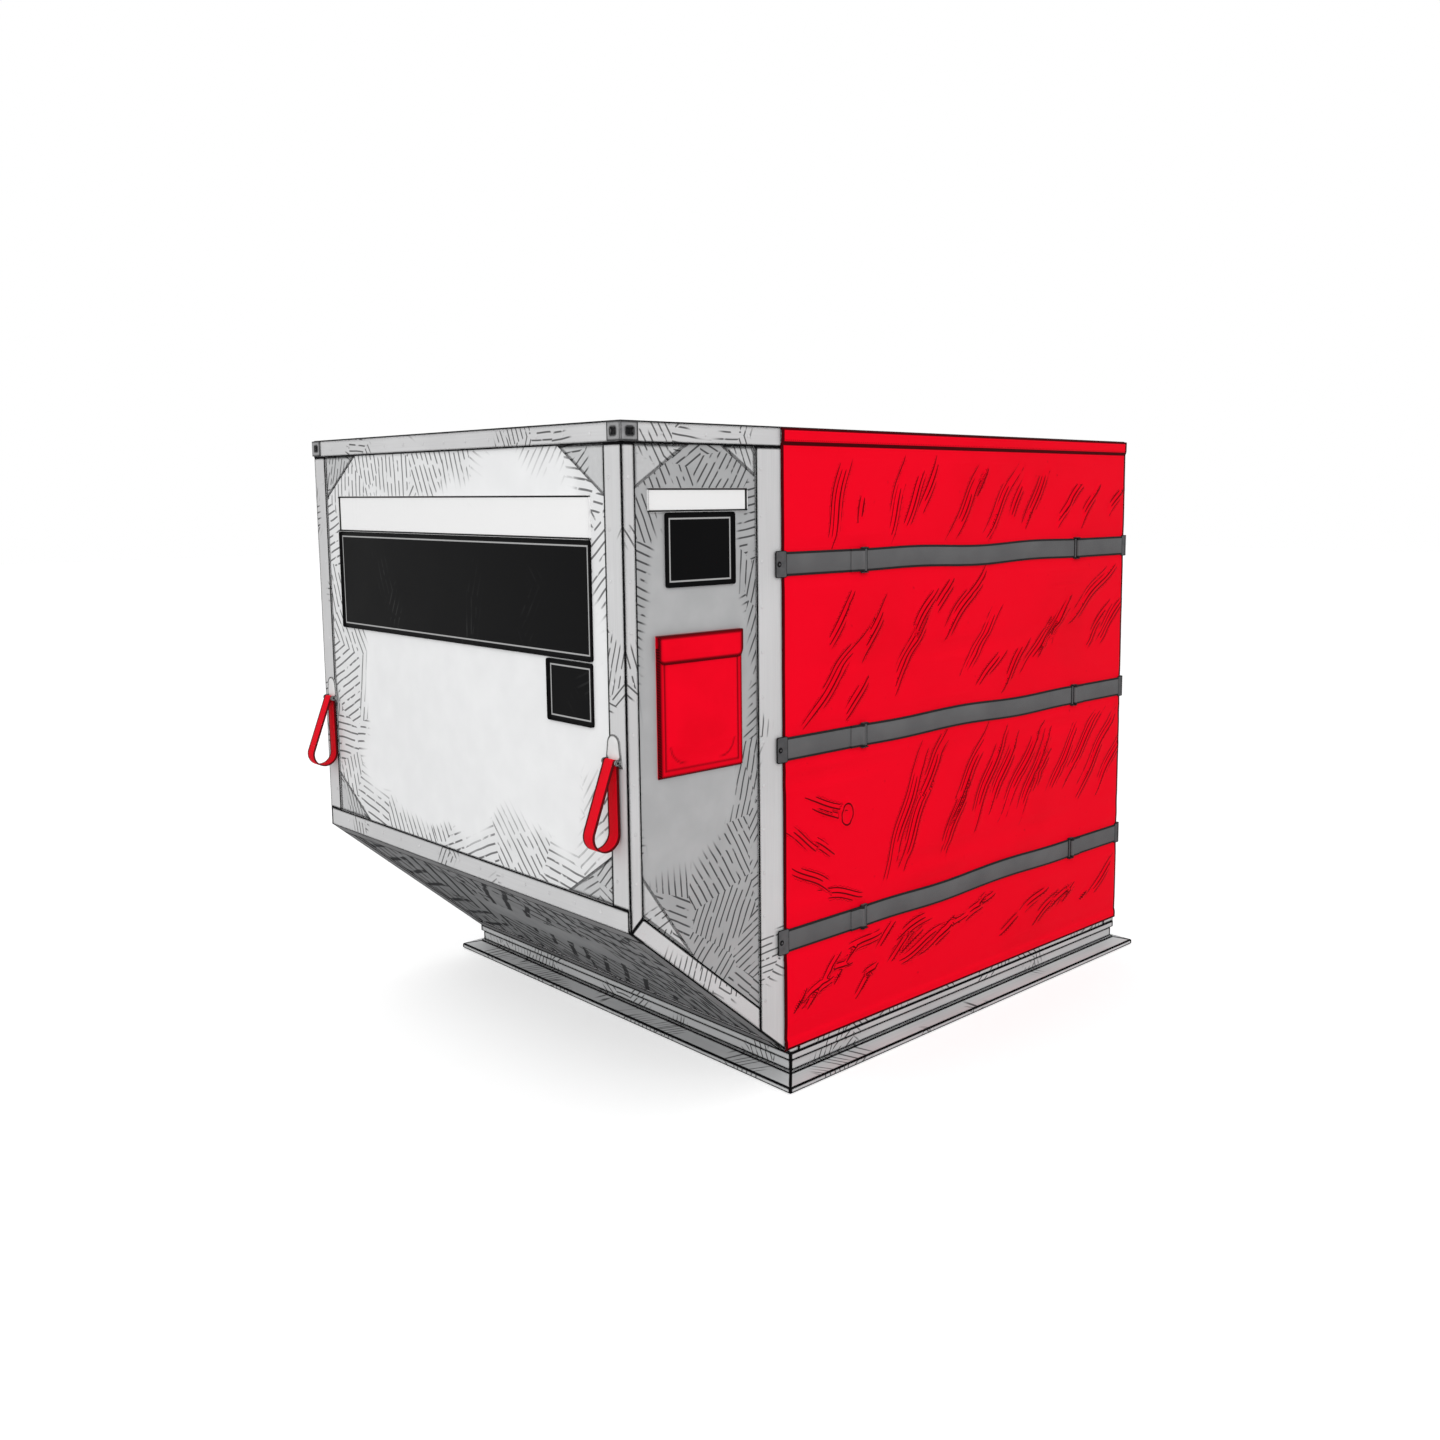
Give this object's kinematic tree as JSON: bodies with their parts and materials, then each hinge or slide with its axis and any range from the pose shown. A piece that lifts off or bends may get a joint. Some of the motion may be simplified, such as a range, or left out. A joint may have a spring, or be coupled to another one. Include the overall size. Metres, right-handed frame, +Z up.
{
  "type": "air cargo container",
  "caption": "Lower-deck air cargo container with a sloped overhang, a stepped base rim, a fold-up fabric door held by webbing straps, pull loops and a document pouch.",
  "frame": {"origin": "centre of the base's bottom face", "axes": "+Z up, the door faces -Y, the overhang reaches towards -X"},
  "size_m": [2.082, 1.534, 1.626],
  "materials": {
    "rim": "extruded, satin",
    "floor": "rolled sheet",
    "frame": "extruded, satin",
    "side_sheet": "satin white",
    "wall_sheet": "rolled sheet, satin",
    "casting": "cast, grey",
    "bar": "flat bar",
    "curtain": "coated red fabric",
    "webbing": "woven grey webbing",
    "fitting": "dark coated steel",
    "pouch": "coated red fabric",
    "tab": "white",
    "loop": "woven red webbing"
  },
  "bodies": {
    "container": {"base_rail_front": "rim", "base_rail_back": "rim", "base_rail_left": "rim", "base_rail_right": "rim", "base_sheet": "floor", "front_left_post": "frame", "back_left_post": "frame", "door_post": "frame", "front_right_post": "frame", "back_right_post": "frame", "roof_rail_front": "frame", "roof_rail_back": "frame", "roof_rail_left": "frame", "roof_rail_right": "frame", "knee_rail": "frame", "slope_rails": "frame", "sill_rails": "frame", "side_panel": "side_sheet", "slope_panel": "wall_sheet", "front_panel": "wall_sheet", "back_panel": "wall_sheet", "right_panel": "wall_sheet", "roof_panel": "wall_sheet", "gusset_plates": "wall_sheet", "corner_caps": "casting", "pull_tabs": "tab", "header_rail": "bar", "curtain_band": "curtain", "curtain_header": "curtain", "strap_top": "webbing", "buckles_top": "fitting", "hook_studs": "fitting", "pouch_pocket": "pouch", "pull_pins": "fitting"},
    "fold_1": {"curtain_1": "curtain"},
    "fold_2": {"curtain_2": "curtain", "strap_middle": "webbing", "buckles_middle": "fitting"},
    "fold_3": {"curtain_3": "curtain", "strap_bottom": "webbing", "buckles_bottom": "fitting"},
    "fold_4": {"curtain_4": "curtain", "curtain_bar": "bar"},
    "top_left_end": {"tail_top_left": "webbing", "hook_top_left": "fitting"},
    "top_right_end": {"tail_top_right": "webbing", "hook_top_right": "fitting"},
    "middle_left_end": {"tail_middle_left": "webbing", "hook_middle_left": "fitting"},
    "middle_right_end": {"tail_middle_right": "webbing", "hook_middle_right": "fitting"},
    "bottom_left_end": {"tail_bottom_left": "webbing", "hook_bottom_left": "fitting"},
    "bottom_right_end": {"tail_bottom_right": "webbing", "hook_bottom_right": "fitting"},
    "flap": {"pouch_flap": "pouch"},
    "front_loop": {"pull_loop_front": "loop"},
    "back_loop": {"pull_loop_back": "loop"}
  },
  "joints": [
    {"name": "curtain_fold", "type": "hinge", "parent": "container", "child": "fold_1", "pos_m": [0, -0.7266, 1.196], "axis": [-1, 0, 0], "range_deg": [0, 155]},
    {"name": "curtain_fold_2", "type": "hinge", "parent": "fold_1", "child": "fold_2", "pos_m": [0, -0.7236, 0.905], "axis": [1, 0, 0], "range_deg": [0, 155]},
    {"name": "curtain_fold_3", "type": "hinge", "parent": "fold_2", "child": "fold_3", "pos_m": [0, -0.7266, 0.64], "axis": [-1, 0, 0], "range_deg": [0, 155]},
    {"name": "curtain_fold_4", "type": "hinge", "parent": "fold_3", "child": "fold_4", "pos_m": [0, -0.7236, 0.325], "axis": [1, 0, 0], "range_deg": [0, 155]},
    {"name": "top_left_strap_swing", "type": "hinge", "parent": "container", "child": "top_left_end", "pos_m": [-0.482, -0.7327, 1.303], "axis": [0, 0, 1], "range_deg": [0, 180]},
    {"name": "top_right_strap_swing", "type": "hinge", "parent": "container", "child": "top_right_end", "pos_m": [0.478, -0.7327, 1.303], "axis": [0, 0, -1], "range_deg": [0, 180]},
    {"name": "middle_left_strap_swing", "type": "hinge", "parent": "fold_2", "child": "middle_left_end", "pos_m": [-0.482, -0.7327, 0.855], "axis": [0, 0, 1], "range_deg": [0, 180]},
    {"name": "middle_right_strap_swing", "type": "hinge", "parent": "fold_2", "child": "middle_right_end", "pos_m": [0.478, -0.7327, 0.855], "axis": [0, 0, -1], "range_deg": [0, 180]},
    {"name": "bottom_left_strap_swing", "type": "hinge", "parent": "fold_3", "child": "bottom_left_end", "pos_m": [-0.482, -0.7327, 0.375], "axis": [0, 0, 1], "range_deg": [0, 180]},
    {"name": "bottom_right_strap_swing", "type": "hinge", "parent": "fold_3", "child": "bottom_right_end", "pos_m": [0.478, -0.7327, 0.375], "axis": [0, 0, -1], "range_deg": [0, 180]},
    {"name": "pouch_flap_lift", "type": "hinge", "parent": "container", "child": "flap", "pos_m": [-1.014, -0.7293, 1.159], "axis": [-1, 0, 0], "range_deg": [0, 165]},
    {"name": "front_loop_swing", "type": "hinge", "parent": "container", "child": "front_loop", "pos_m": [-1.2365, -0.677, 0.888], "axis": [0, 1, 0], "range_deg": [0, 120]},
    {"name": "back_loop_swing", "type": "hinge", "parent": "container", "child": "back_loop", "pos_m": [-1.2365, 0.677, 0.888], "axis": [0, 1, 0], "range_deg": [0, 120]}
  ],
  "couplings": [
    {"joint": "curtain_fold_2", "follows": "curtain_fold", "ratio": 1},
    {"joint": "curtain_fold_3", "follows": "curtain_fold", "ratio": 1},
    {"joint": "curtain_fold_4", "follows": "curtain_fold", "ratio": 1}
  ]
}
